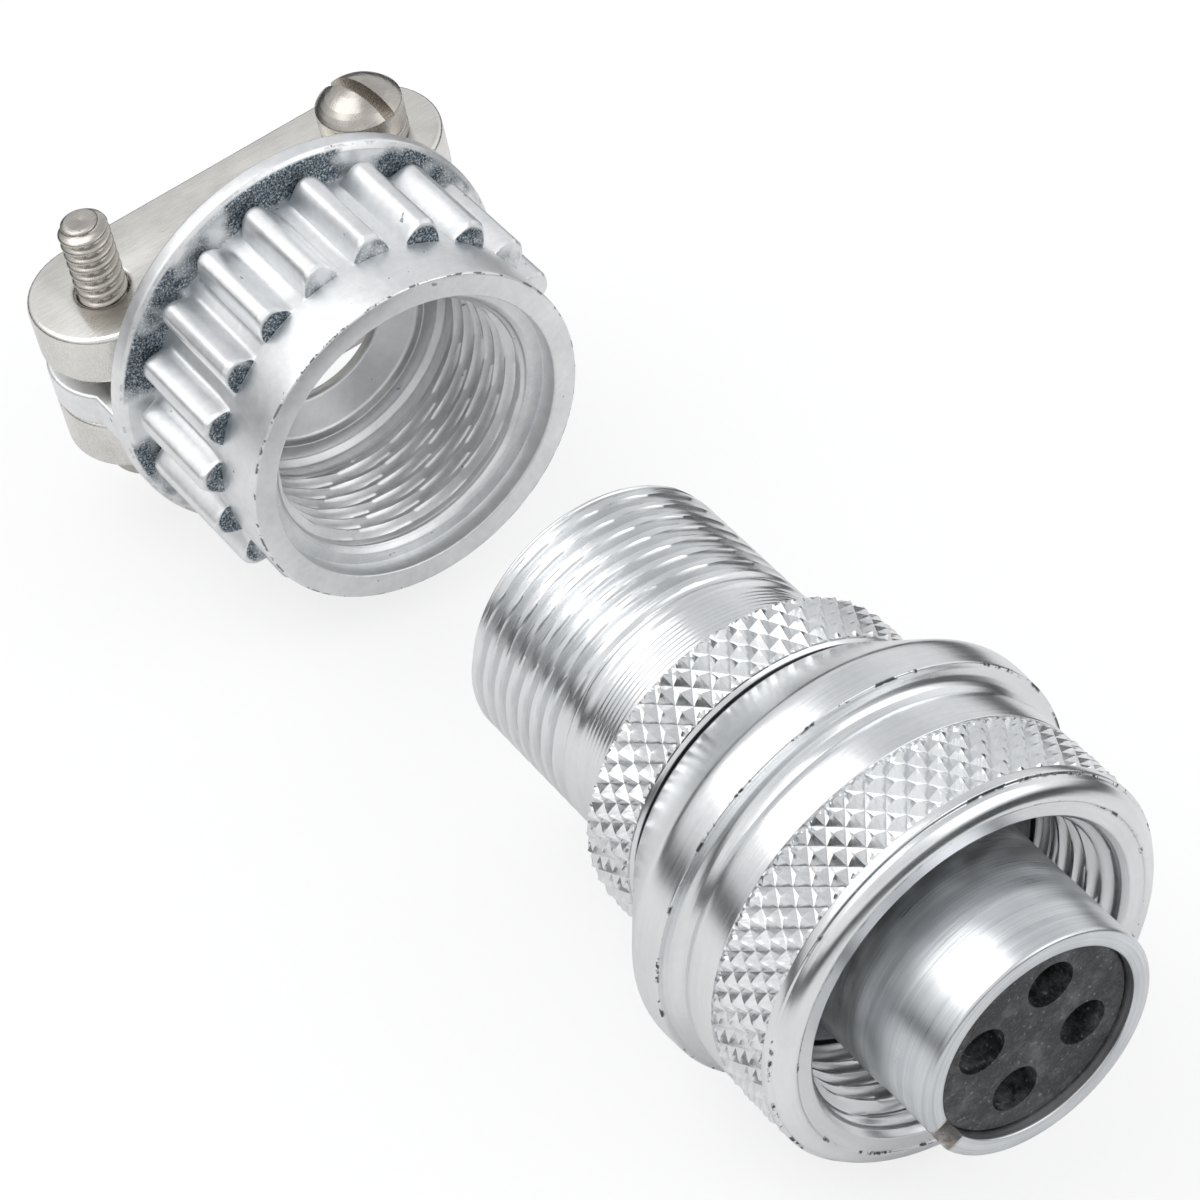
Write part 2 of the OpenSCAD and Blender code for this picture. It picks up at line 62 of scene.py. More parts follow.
# --- Studio -----------------------------------------------------------------
# A white table under a broad white ceiling, as small metal goods are lit. The
# table ends close round the part, and the dark room beyond it draws the dark
# streaks on turned metal.

table_z = min(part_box("coupling_nut")[0][2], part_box("clamp_body")[0][2])
table_reach = 0.13
table_fade = 0.08
camera_place = Vector((129.6, -118.0, 185.7)) * MM
camera_tilt = math.radians(48.7)         # from straight down
camera_heading = math.radians(55.8)      # from +Y towards -X
frame_slope = 600 / 4500                 # half the frame's width over its distance

lens = bpy.data.cameras.new("product_camera")
lens.sensor_fit = "HORIZONTAL"
lens.angle = 2 * math.atan(frame_slope)
lens.clip_start = 0.01
lens.clip_end = 10
camera = bpy.data.objects.new("product_camera", lens)
bpy.context.scene.collection.objects.link(camera)
camera.location = camera_place
camera.rotation_euler = (camera_tilt, 0, camera_heading)
bpy.context.scene.camera = camera
bpy.context.scene.view_settings.view_transform = "Standard"


class Link:
    """A node's output, written in sums as a number is: a + b, 1 - a, a * b, a / b, a ** b."""

    def __init__(self, tree, output=None):
        self.tree = tree
        self.output = output

    def node(self, kind, settings=None, inputs=None, result=0):
        """Adds a shader node, sets its settings, then feeds its inputs with values or links."""
        made = self.tree.nodes.new("ShaderNode" + kind)
        for name, setting in (settings or {}).items():
            if name == "stops":
                ramp = made.color_ramp
                while len(ramp.elements) < len(setting):
                    ramp.elements.new(0.5)
                for element, (place, colour) in zip(ramp.elements, setting):
                    element.position = place
                    element.color = (*colour, 1)
            else:
                setattr(made, name, setting)
        for name, value in (inputs or {}).items():
            if isinstance(value, Link):
                self.tree.links.new(made.inputs[name], value.output)
            else:
                made.inputs[name].default_value = value
        return Link(self.tree, made.outputs[result])

    def math(self, operation, *values):
        return self.node("Math", {"operation": operation}, dict(enumerate(values)))

    def __add__(self, other):
        return self.math("ADD", self, other)

    def __sub__(self, other):
        return self.math("SUBTRACT", self, other)

    def __rsub__(self, other):
        return self.math("SUBTRACT", other, self)

    def __mul__(self, other):
        return self.math("MULTIPLY", self, other)

    def __truediv__(self, other):
        return self.math("DIVIDE", self, other)

    def __pow__(self, other):
        return self.math("POWER", self, other)

    __radd__ = __add__
    __rmul__ = __mul__

    def between(self, low, high):
        """0 below low, 1 above high, and an even ramp between them."""
        return self.node("MapRange", {"clamp": True}, {"Value": self, "From Min": low, "From Max": high})

    def mix(self, first, second):
        """The first colour where this is 0, the second where it is 1."""
        colour = lambda c: c if isinstance(c, Link) else (*c, 1)
        return self.node("Mix", {"data_type": "RGBA"}, {0: self, 6: colour(first), 7: colour(second)}, 2)

    def part(self, axis):
        """One of a vector's three numbers."""
        return self.node("SeparateXYZ", None, {0: self}, axis)

    def noise(self, scale, detail=2.0, rough=0.5):
        """Noise from 0 to 1 over the vector that this is."""
        inputs = {"Vector": self, "Scale": scale, "Detail": detail, "Roughness": rough}
        return self.node("TexNoise", None, inputs)


# The room: white to the camera; to the metal, a cloudy ceiling over a dark horizon
world = bpy.data.worlds.new("studio")
bpy.context.scene.world = world
world.use_nodes = True
world.node_tree.nodes.clear()
room = Link(world.node_tree)
direction = room.node("TexCoord")
above_horizon = direction.part(2).between(0.06, 0.17)
overhead = direction.noise(1.5).between(0.36, 0.62).mix((0.66, 0.67, 0.685), (0.95, 0.96, 0.97))
around = above_horizon.mix((0.03, 0.033, 0.037), overhead)
lit = room.node("Background", None, {"Color": around, "Strength": 1.0})
seen = room.node("Background", None, {"Color": (1, 1, 1, 1), "Strength": 1.0})
sky = room.node("MixShader", None, {0: room.node("LightPath"), 1: lit, 2: seen})
world_out = world.node_tree.nodes.new("ShaderNodeOutputWorld")
world.node_tree.links.new(world_out.inputs["Surface"], sky.output)


def add_lamp(name, place, target, width, power):
    """A square soft lamp that faces its target."""
    data = bpy.data.lights.new(name, "AREA")
    data.size = width
    data.energy = power
    lamp = bpy.data.objects.new(name, data)
    bpy.context.scene.collection.objects.link(lamp)
    lamp.location = place
    lamp.rotation_euler = (Vector(target) - Vector(place)).to_track_quat("-Z", "Y").to_euler()


middle = ((cad_bounds[0][0] + cad_bounds[1][0]) / 2, 0, 0)
add_lamp("key_softbox", (middle[0] - 0.15, -0.25, 0.45), middle, 0.45, 1.1)
add_lamp("fill_softbox", (middle[0] + 0.35, 0.25, 0.35), middle, 0.40, 0.5)

table_mesh = bpy.data.meshes.new("table")
table_rim = [(middle[0] + table_reach * math.cos(a), table_reach * math.sin(a), table_z)
             for a in np.linspace(0, 2 * math.pi, 97)[:-1]]
table_mesh.from_pydata(table_rim, [], [tuple(range(len(table_rim)))])
table = bpy.data.objects.new("table", table_mesh)
bpy.context.scene.collection.objects.link(table)
table_paint = bpy.data.materials.new("table_paint")
table_paint.use_nodes = True
table_paint.node_tree.nodes.clear()
paint = Link(table_paint.node_tree)
spot = paint.node("TexCoord", result=3)
out = ((spot.part(0) - middle[0]) ** 2 + spot.part(1) ** 2) ** 0.5
bright = 0.72 + 0.28 * out.between(table_fade * 0.8, table_reach - 0.01)
shaded = paint.node("BsdfDiffuse", None, {"Color": (0.80, 0.80, 0.80, 1)})
glow = paint.node("Emission", None, {"Color": (1, 1, 1, 1), "Strength": 1.06})
table_look = paint.node("MixShader", None, {0: paint.node("LightPath") * bright, 1: shaded, 2: glow})
table_out = table_paint.node_tree.nodes.new("ShaderNodeOutputMaterial")
table_paint.node_tree.links.new(table_out.inputs["Surface"], table_look.output)
table_mesh.materials.append(table_paint)


# --- Rear shell -------------------------------------------------------------
# Turned from bar and zinc plated: a knurled grip ring, a plain neck with fine
# tool lines, and a 20-to-the-inch thread that the cable clamp screws onto. It
# is screwed tight onto the front shell inside the nut.

shell_low, shell_high = (np.array(corner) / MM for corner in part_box("rear_shell"))
shell_rear = shell_low[0]
grip_front = shell_high[0]
grip_r = shell_high[1]
grip_len = 4.7
grip_count = 50
grip_rows = 4
knurl_depth = 0.45
grip_edge = 0.25
neck_len = 4.4
neck_r = 9.365
clamp_thread_r = 9.525
clamp_thread_pitch = 1.27
male_flank = 0.26      # in turns
male_root = 0.1
thread_depth = 0.72
thread_run = 11.4
tool_mark_h = 0.018
tool_feed = 0.32
wireway_r = 7.7
shell_seat_r = 8.45


def soften(corners, cut, steps=4):
    """Closed outline with rounded corners. Each corner P gives way to the curve
    (1-t)^2 A + 2t(1-t) P + t^2 B between points A and B, cut away from it along its two sides."""
    corners = np.asarray(corners, float)
    cut = np.broadcast_to(np.asarray(cut, float), len(corners))[:, None]

    def stepped(neighbours):
        side = neighbours - corners
        length = np.linalg.norm(side, axis=1)[:, None]
        return corners + side / length * np.minimum(cut, 0.45 * length)

    start = stepped(np.roll(corners, 1, 0))[:, None]
    end = stepped(np.roll(corners, -1, 0))[:, None]
    t = np.linspace(0, 1, steps)[None, :, None]
    return ((1 - t) ** 2 * start + 2 * t * (1 - t) * corners[:, None] + t ** 2 * end).reshape(-1, 2)


def refine(outline, step, keep):
    """Adds points to a closed outline, a step apart, wherever keep(x, r) holds."""
    closed = np.vstack([outline, outline[:1]])
    along = np.concatenate([[0], np.cumsum(np.linalg.norm(np.diff(closed, axis=0), axis=1))])
    extra = np.arange(0, along[-1], step)
    extra_x, extra_r = (np.interp(extra, along, closed[:, k]) for k in (0, 1))
    at = np.unique(np.round(np.concatenate([along[:-1], extra[keep(extra_x, extra_r)]]), 5))
    return np.stack([np.interp(at, along, closed[:, k]) for k in (0, 1)], axis=1)


def angles(count):
    """Even angles round one turn."""
    return np.arange(count) * 2 * np.pi / count


def around_x(x, r, a):
    """Points at station x, radius r and angle a about the axis, a from +Y towards +Z."""
    x, r, a = np.broadcast_arrays(x, r, a)
    return np.stack([x, r * np.cos(a), r * np.sin(a)], axis=-1)


def thread_form(x, a, pitch, flank=0.34, root=0.16):
    """Height from 0 at the root to 1 at the crest of a right-hand thread: the distance to the
    nearest crest, in turns, falls on an even flank between a flat crest and a flat root. flank and
    root are their widths in turns."""
    turns = x / pitch + a / (2 * np.pi)
    off = np.abs(turns - np.round(turns))
    return np.clip((0.5 - root / 2 - off) / flank, 0, 1)


def diamond_form(along, around):
    """Height from 0 in the grooves to 1 on the flat tops of a diamond knurl, where whole sums and
    differences of the two lattice counts are grooves."""
    offsets = [np.abs(k - np.floor(k) - 0.5) for k in ((along + around) / 2, (along - around) / 2)]
    return np.minimum(1.12 * (1 - 2 * np.maximum(*offsets)), 1)


def ring_faces(points, fold=None):
    """Faces of a closed grid of points [rows, columns, 3]: quads, or with fold (a height at each
    point) triangles split along the lower diagonal, so that grooves stay sharp. They face outwards."""
    rows, columns = points.shape[:2]
    index = np.arange(rows * columns).reshape(rows, columns)
    right, down = np.roll(index, -1, 1), np.roll(index, -1, 0)
    across = np.roll(right, -1, 0)
    if fold is None:
        faces = np.stack([index, down, across, right], axis=-1).reshape(-1, 4)
    else:
        flat = fold.reshape(-1)
        main = flat[index] + flat[across] <= flat[right] + flat[down] + 1e-9
        pick = main[..., None]
        first = np.where(pick, np.stack([index, down, across], -1), np.stack([index, down, right], -1))
        second = np.where(pick, np.stack([index, across, right], -1), np.stack([right, down, across], -1))
        faces = np.concatenate([first.reshape(-1, 3), second.reshape(-1, 3)])
    corners = points.reshape(-1, 3)[faces]
    volume = np.einsum("ij,ij->", corners[:, 0], np.cross(corners[:, 1], corners[:, 2]))
    if faces.shape[1] == 4:
        volume += np.einsum("ij,ij->", corners[:, 0], np.cross(corners[:, 2], corners[:, 3]))
    return faces if volume > 0 else faces[:, ::-1]


def make_piece(name, shells, material, smooth=35, marks=None):
    """One mesh object from shells of (points, faces), in millimetres. marks are named numbers,
    one for each point."""
    points = np.concatenate([np.reshape(s[0], (-1, 3)) for s in shells]) * MM
    starts = np.cumsum([0] + [np.reshape(s[0], (-1, 3)).shape[0] for s in shells[:-1]])
    faces = [s[1] + start for s, start in zip(shells, starts)]
    sizes = np.concatenate([np.full(len(f), f.shape[1]) for f in faces])
    corners = np.concatenate([f.reshape(-1) for f in faces])
    mesh = bpy.data.meshes.new(name)
    mesh.vertices.add(len(points))
    mesh.vertices.foreach_set("co", points.astype(np.float32).ravel())
    mesh.loops.add(len(corners))
    mesh.loops.foreach_set("vertex_index", corners.astype(np.int32))
    mesh.polygons.add(len(sizes))
    mesh.polygons.foreach_set("loop_start", (np.cumsum(sizes) - sizes).astype(np.int32))
    mesh.update(calc_edges=True)
    for mark, values in (marks or {}).items():
        layer = mesh.attributes.new(mark, "FLOAT", "POINT")
        layer.data.foreach_set("value", np.asarray(values, np.float32).ravel())
    mesh.validate()
    mesh.shade_smooth()
    mesh.set_sharp_from_angle(angle=math.radians(smooth))
    mesh.materials.append(material)
    piece = bpy.data.objects.new(name, mesh)
    bpy.context.scene.collection.objects.link(piece)
    return piece


def knurled_ring(x_front, length, r_top, depth, rows, count, fine=4):
    """A closed ring of diamonds: the height of the lattice over its core, its two ends sunk."""
    j = np.arange(rows * fine + 1) / fine
    i = np.arange(2 * count * fine) / fine
    height = diamond_form(j[:, None], i[None, :] + 1)
    end_fade = np.minimum(np.minimum(j, rows - j) * 2.2 + 0.25, 1)[:, None]
    outer_r = r_top - depth + depth * np.minimum(height, end_fade)
    x = x_front - length * j / rows
    x = np.concatenate([[x_front + 0.12], x, [x_front - length - 0.12]])
    sunk = np.full((1, len(i)), r_top - depth - 0.3)
    outer_r = np.vstack([sunk, outer_r, sunk])
    core = np.full((1, len(i)), r_top - depth - 0.8)
    r = np.vstack([outer_r, core, core])
    x = np.concatenate([x, x[[-1, 0]]])
    points = around_x(x[:, None], r, angles(len(i))[None, :])
    return points, ring_faces(points, r)


def new_finish(name):
    """A material with its shader, and a Link to write its pattern with."""
    material = bpy.data.materials.new(name)
    material.use_nodes = True
    tree = material.node_tree
    shader = tree.nodes["Principled BSDF"]
    return material, shader, Link(tree)


def feed(shader, name, link):
    """Links a pattern to one of the shader's inputs."""
    link.tree.links.new(shader.inputs[name], link.output)


def object_millimetres(pattern):
    """The surface's own place, in millimetres."""
    place = pattern.node("TexCoord", result=3)
    return pattern.node("VectorMath", {"operation": "SCALE"}, {0: place, "Scale": 1000.0})


def turned_lines(pattern, place, per_mm, swing=0.18):
    """Lines left by a lathe tool: noise that changes fast along the axis and outwards, and slowly
    round the piece."""
    x, y, z = (place.part(k) for k in range(3))
    out = (y * y + z * z) ** 0.5
    stretched = pattern.node("CombineXYZ", None, {
        0: (x + out) * per_mm, 1: y * swing, 2: z * swing})
    return stretched.noise(1.0, 3.0, 0.6)


def turned_plating(name, tint, line_depth, gloss):
    """Bright zinc on turned metal: tool lines in height and tone, cloudy patches, and thin dark
    chips along the edges that the worn mark names."""
    material, shader, pattern = new_finish(name)
    place = object_millimetres(pattern)
    lines = turned_lines(pattern, place, 7.0)
    cloud = place.noise(0.22, 3.0)
    fine = place.noise(2.6, 4.0, 0.65)
    worn = pattern.node("Attribute", {"attribute_name": "worn"}, None, 2)
    chips = worn.between(0.3, 0.8) * place.noise(0.62, 4.0, 0.7).between(0.54, 0.59)
    tone = (cloud * 0.45 + fine * 0.2 + lines * 0.35).between(0.34, 0.64)
    dark = tuple(0.84 * c for c in tint)
    feed(shader, "Base Color", chips.mix(tone.mix(dark, tint), (0.10, 0.105, 0.11)))
    feed(shader, "Roughness", gloss + lines * 0.10 + cloud * 0.08 + chips * 0.25)
    shader.inputs["Metallic"].default_value = 1.0
    height = lines * 1.0 + fine * 0.35 - chips * 1.5
    bump = pattern.node("Bump", None, {"Strength": 0.55, "Distance": line_depth, "Height": height})
    feed(shader, "Normal", bump)
    return material


shell_plating = turned_plating("shell_plating", (0.84, 0.85, 0.86), 0.000012, 0.15)

thread_front = shell_rear + thread_run
neck_front = thread_front + neck_len
shell_inner_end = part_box("front_shell")[0][0] / MM - 0.05
shell_outline = soften([
    (shell_rear, wireway_r), (shell_rear, clamp_thread_r - 0.5), (shell_rear + 0.45, clamp_thread_r),
    (thread_front, clamp_thread_r), (thread_front + 0.35, neck_r),
    (neck_front, neck_r), (neck_front, grip_r - 0.65), (neck_front + grip_edge, grip_r - 0.42),
    (neck_front + grip_edge, grip_r - 1.0), (grip_front - grip_edge, grip_r - 1.0),
    (grip_front - grip_edge, grip_r - 0.42), (grip_front, grip_r - 0.65), (grip_front, shell_seat_r),
    (shell_inner_end, shell_seat_r), (shell_inner_end, wireway_r),
], [0.12, 0.12, 0.1, 0.1, 0.1, 0.35, 0.06, 0.06, 0.02, 0.02, 0.06, 0.06, 0.06, 0.05, 0.05])
shell_outline = refine(shell_outline, 0.08, lambda x, r: (x < neck_front) & (r > clamp_thread_r - 0.55))
shell_x, shell_r = shell_outline[:, :1], shell_outline[:, 1:]
on_neck = (shell_x > thread_front + 0.6) & (shell_x < neck_front - 0.5) & (shell_r > clamp_thread_r - 0.3)
tool_marks = tool_mark_h * (1 - np.cos(2 * np.pi * shell_x / tool_feed)) * on_neck
turn = angles(192)[None, :]
run_out = np.clip((thread_front - 0.2 - shell_x) / 1.8, 0, 1) * (shell_r > clamp_thread_r - 0.6)
groove = (1 - thread_form(shell_x, turn, clamp_thread_pitch, male_flank, male_root)) * thread_depth * run_out
entry = np.clip((shell_x - shell_rear) / 0.5, 0, 1)
shell_points = around_x(shell_x, shell_r - groove * entry - tool_marks, turn)
rear_shell = make_piece("rear_shell_finished", [
    (shell_points, ring_faces(shell_points)),
    knurled_ring(grip_front - grip_edge, grip_len - 2 * grip_edge, grip_r, knurl_depth,
                 grip_rows, grip_count),
], shell_plating)
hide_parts("rear_shell")
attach(rear_shell, "plug")


# --- Coupling nut -----------------------------------------------------------
# Turned and knurled, then zinc plated. From a lip at the rear it widens to a
# smooth band with a sharp edge, then come a hollow groove, a diamond knurl and a
# rounded mouth whose thread pulls the plug onto its receptacle. It turns freely.

nut_low, nut_high = (np.array(corner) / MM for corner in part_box("coupling_nut"))
nut_rear, nut_face = nut_low[0], nut_high[0]
nut_top_r = nut_high[1]
nut_ring_r = nut_top_r - 0.1
nut_band_r = 13.9
nut_lip_r = 11.5
nut_knurl_front = nut_face - 1.6
nut_knurl_rear = nut_knurl_front - 4.9
nut_groove_front = nut_knurl_rear - 2.0
nut_groove_half = 1.0
nut_groove_r = nut_band_r - 0.6
nut_ring_x = nut_groove_front - 2 * nut_groove_half
nut_taper_x = nut_ring_x - 2.4
nut_count = 58
nut_rows = 5
coupling_r = 11.1
coupling_ridge = 0.7
neck_seat_len = 2.3
coupling_depth = 7.8
nut_bore_r = 8.5
collar_bore_r = 10.6

coupling_end = nut_face - coupling_depth
down_curve, up_curve = np.radians(np.arange(0, 91, 15)), np.radians(np.arange(30, 91, 15))
nut_corners = np.concatenate([
    [(nut_face - 0.1, coupling_r + 0.35), (nut_face - 0.1, nut_band_r - 1.5), (nut_face, nut_band_r - 1.4),
     (nut_face, nut_band_r - 1.15), (nut_face - 0.25, nut_band_r - 0.6), (nut_face - 0.6, nut_band_r - 0.3),
     (nut_face - 0.92, nut_band_r - 0.22), (nut_face - 1.0, nut_band_r - 0.02),
     (nut_knurl_front, nut_band_r - 0.02), (nut_knurl_front, nut_band_r - 0.95),
     (nut_knurl_rear, nut_band_r - 0.95), (nut_knurl_rear, nut_band_r - 0.02)],
    np.stack([nut_groove_front - nut_groove_half * np.sin(down_curve),
              nut_groove_r + 0.58 * np.cos(down_curve)], axis=1),
    np.stack([nut_ring_x + nut_groove_half * (1 - np.sin(up_curve)),
              nut_groove_r + (nut_ring_r - 0.03 - nut_groove_r) * (1 - np.cos(up_curve))], axis=1),
    [(nut_ring_x - 0.12, nut_ring_r), (nut_taper_x + 0.5, nut_top_r - 0.02),
     (nut_taper_x - 0.1, nut_top_r - 0.14), (nut_rear + 0.4, nut_lip_r + 0.2),
     (nut_rear, nut_lip_r - 0.25), (nut_rear, nut_bore_r), (nut_rear + neck_seat_len, nut_bore_r),
     (nut_rear + neck_seat_len, collar_bore_r), (coupling_end, collar_bore_r),
     (coupling_end, coupling_r), (nut_face - 0.5, coupling_r)],
])
nut_cuts = np.full(len(nut_corners), 0.08)
nut_cuts[2:7] = (0.06, 0.25, 0.2, 0.1, 0.04)
nut_cuts[-11:-8] = (0.06, 0.6, 0.4)
nut_outline = soften(nut_corners, nut_cuts)
nut_outline = refine(nut_outline, 0.1, lambda x, r: (x > coupling_end) & (r < coupling_r + 0.1))
nut_x, nut_r = nut_outline[:, :1], nut_outline[:, 1:]
turn = angles(224)[None, :]
inside = (nut_r < coupling_r + 0.02) & (nut_x > coupling_end + 0.4) & (nut_x < nut_face - 0.5)
lead_in = np.clip((nut_face - 0.7 - nut_x) / 1.2, 0, 1) * np.clip((nut_x - coupling_end - 0.8) / 1.0, 0, 1)
ridge = thread_form(nut_x, turn, clamp_thread_pitch) * coupling_ridge * inside * lead_in
nut_points = around_x(nut_x, nut_r - ridge, turn)

# The edges that lose their plating first: the front step, the face's inner line, the sharp ring
worn_edges = ((nut_face - 0.96, nut_band_r - 0.15), (nut_face - 0.05, nut_band_r - 1.45),
              (nut_ring_x, nut_ring_r - 0.05))
nut_wear = sum(np.exp(-(np.hypot(nut_x - x, nut_r - r) / 0.14) ** 2) for x, r in worn_edges)
nut_knurl = knurled_ring(nut_knurl_front, nut_knurl_front - nut_knurl_rear, nut_band_r + 0.1, knurl_depth,
                         nut_rows, nut_count)
nut_marks = np.concatenate([(nut_wear + 0 * turn).ravel(), np.zeros(nut_knurl[0].size // 3)])
nut_plating = turned_plating("nut_plating", (0.85, 0.86, 0.87), 0.000010, 0.15)
coupling_nut = make_piece("coupling_nut_finished", [(nut_points, ring_faces(nut_points)), nut_knurl],
                          nut_plating, marks={"worn": nut_marks})
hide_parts("coupling_nut")
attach(coupling_nut, "nut")


# --- Front shell ------------------------------------------------------------
# The barrel that enters the receptacle, with the collar and threaded neck that
# hold the nut, turned in one piece and plated. A keyway is milled through the
# rim, and brushed lines run round the barrel.

barrel_low, barrel_high = (np.array(corner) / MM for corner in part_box("front_shell"))
rim_x = barrel_high[0]
shell_end = barrel_low[0]
barrel_r = 8.0
barrel_bore_r = 6.8
collar_r = barrel_high[1]
collar_front = rim_x - 13.8
collar_rear = collar_front - 2.4
front_neck_r = 8.4
rear_bore_r = 7.05
key_angle = math.radians(120)
key_width = 2.4
key_length = 6.0
bore_step_x = rim_x - 9.7


def carve(piece, tools, operation="DIFFERENCE"):
    """Takes closed meshes of (points, faces), in millimetres, out of a piece, or joins them to it."""
    for points, faces in tools:
        tool_mesh = bpy.data.meshes.new("tool")
        tool_mesh.from_pydata((np.asarray(points) * MM).tolist(), [], np.asarray(faces).tolist())
        tool_mesh.shade_smooth()
        tool = bpy.data.objects.new("tool", tool_mesh)
        bpy.context.scene.collection.objects.link(tool)
        cut = piece.modifiers.new("cut", "BOOLEAN")
        cut.operation = operation
        cut.solver = "EXACT"
        cut.object = tool
        depsgraph = bpy.context.evaluated_depsgraph_get()
        carved = bpy.data.meshes.new_from_object(piece.evaluated_get(depsgraph))
        piece.modifiers.clear()
        piece.data = carved
        bpy.data.objects.remove(tool)
    piece.data.set_sharp_from_angle(angle=math.radians(35))


def block(low, high, turn_about_x=0.0):
    """A box between two corners, turned about the axis."""
    low, high = np.asarray(low, float), np.asarray(high, float)
    points = low + (high - low) * np.array([[i >> 2 & 1, i >> 1 & 1, i & 1] for i in range(8)])
    c, s = math.cos(turn_about_x), math.sin(turn_about_x)
    points = points @ np.array([[1, 0, 0], [0, c, s], [0, -s, c]])
    faces = [(0, 1, 3, 2), (4, 6, 7, 5), (0, 4, 5, 1), (2, 3, 7, 6), (0, 2, 6, 4), (1, 5, 7, 3)]
    return points, faces


barrel_outline = soften([
    (rim_x, barrel_bore_r), (rim_x, barrel_r), (collar_front, barrel_r), (collar_front, collar_r),
    (collar_rear, collar_r), (collar_rear, front_neck_r), (shell_end, front_neck_r),
    (shell_end, rear_bore_r), (bore_step_x, rear_bore_r), (bore_step_x, barrel_bore_r),
], [0.16, 0.28, 0.15, 0.3, 0.3, 0.2, 0.3, 0.15, 0.1, 0.1], 5)
barrel_points = around_x(barrel_outline[:, :1], barrel_outline[:, 1:], angles(192)[None, :])


def barrel_plating():
    """The barrel's plating, brushed harder than the rest, with a brown stain left in the keyway."""
    material, shader, pattern = new_finish("barrel_plating")
    place = object_millimetres(pattern)
    broad = turned_lines(pattern, place, 2.2, 0.05)
    lines = turned_lines(pattern, place, 9.0, 0.12)
    cloud = place.noise(0.3, 3.0)
    tone = (broad * 0.4 + lines * 0.35 + cloud * 0.25).between(0.36, 0.64)
    y, z = place.part(1), place.part(2)
    out_key = z * math.cos(key_angle) - y * math.sin(key_angle)
    off_key = pattern.math("ABSOLUTE", y * math.cos(key_angle) + z * math.sin(key_angle))
    in_slot = out_key.between(0, 1) * (1 - off_key.between(1.22, 1.5)) * place.part(0).between(-6.5, -3.5)
    stain = in_slot * place.noise(1.4, 4.0, 0.7).between(0.35, 0.6)
    clean = tone.mix((0.52, 0.54, 0.56), (0.82, 0.83, 0.84))
    feed(shader, "Base Color", (stain * 0.8).mix(clean, (0.30, 0.23, 0.16)))
    feed(shader, "Roughness", 0.2 + lines * 0.14 + cloud * 0.06 + stain * 0.3)
    shader.inputs["Metallic"].default_value = 1.0
    bump = pattern.node("Bump", None, {"Strength": 0.7, "Distance": 0.000014, "Height": lines + broad * 0.4})
    feed(shader, "Normal", bump)
    return material


barrel = (barrel_points, ring_faces(barrel_points))
front_shell = make_piece("front_shell_finished", [barrel], barrel_plating())
key_low = (rim_x - key_length, -key_width / 2, barrel_bore_r - 1)
key_high = (rim_x + 1, key_width / 2, barrel_r + 2)
carve(front_shell, [block(key_low, key_high, key_angle)])
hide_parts("front_shell")
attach(front_shell, "plug")


# --- Inserts, contacts and retaining ring -----------------------------------
# Two moulded rubber blocks trap the flanges of four machined contacts. Each
# socket is slotted so that it springs, under a thin steel hood. A split ring
# in the shell's groove keeps the stack in.

def moulded_rubber():
    """Hard rubber, black-grey: a matt ground with lighter dust and mould bloom in patches."""
    material, shader, pattern = new_finish("moulded_rubber")
    place = object_millimetres(pattern)
    bloom = place.noise(0.62, 5.0, 0.72).between(0.46, 0.66)
    grit = place.noise(4.2, 3.0, 0.75).between(0.50, 0.72)
    specks = place.noise(2.7, 1.0).between(0.68, 0.72)
    tone = (bloom * 0.6 + grit * 0.4).mix((0.012, 0.013, 0.015), (0.17, 0.175, 0.185))
    feed(shader, "Base Color", (specks * 0.35).mix(tone, (0.42, 0.42, 0.42)))
    feed(shader, "Roughness", 0.46 + bloom * 0.22 + grit * 0.1)
    height = bloom * 0.7 + grit * 0.5
    bump = pattern.node("Bump", None, {"Strength": 0.8, "Distance": 0.00006, "Height": height})
    feed(shader, "Normal", bump)
    return material


def machined_metal(name, light, dark, roughness, scale):
    """Small machined or sprung parts: two tones in fine streaks, with a slight grain."""
    material, shader, pattern = new_finish(name)
    place = object_millimetres(pattern)
    streaks = place.noise(scale, 4.0, 0.6)
    feed(shader, "Base Color", streaks.between(0.35, 0.65).mix(dark, light))
    feed(shader, "Roughness", roughness + streaks * 0.15)
    shader.inputs["Metallic"].default_value = 1.0
    bump = pattern.node("Bump", None, {"Strength": 0.4, "Distance": 0.00001, "Height": streaks})
    feed(shader, "Normal", bump)
    return material


rubber = moulded_rubber()
gilt = machined_metal("contact_gilt", (0.83, 0.66, 0.33), (0.68, 0.50, 0.22), 0.2, 2.0)
spring = machined_metal("spring_metal", (0.62, 0.61, 0.58), (0.42, 0.41, 0.39), 0.26, 3.0)


def dress(node, material):
    """Gives a solid that keeps its own mesh its material."""
    held = bpy.data.objects[node]
    if not held.material_slots:
        held.data.materials.append(material)
    for entry in held.material_slots:
        entry.material = material


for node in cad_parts:
    if node in ("front_insert", "rear_insert"):
        dress(node, rubber)
    elif node.startswith("socket_contact"):
        dress(node, gilt)
    elif node.startswith("contact_sleeve") or node == "insert_retaining_ring":
        dress(node, spring)
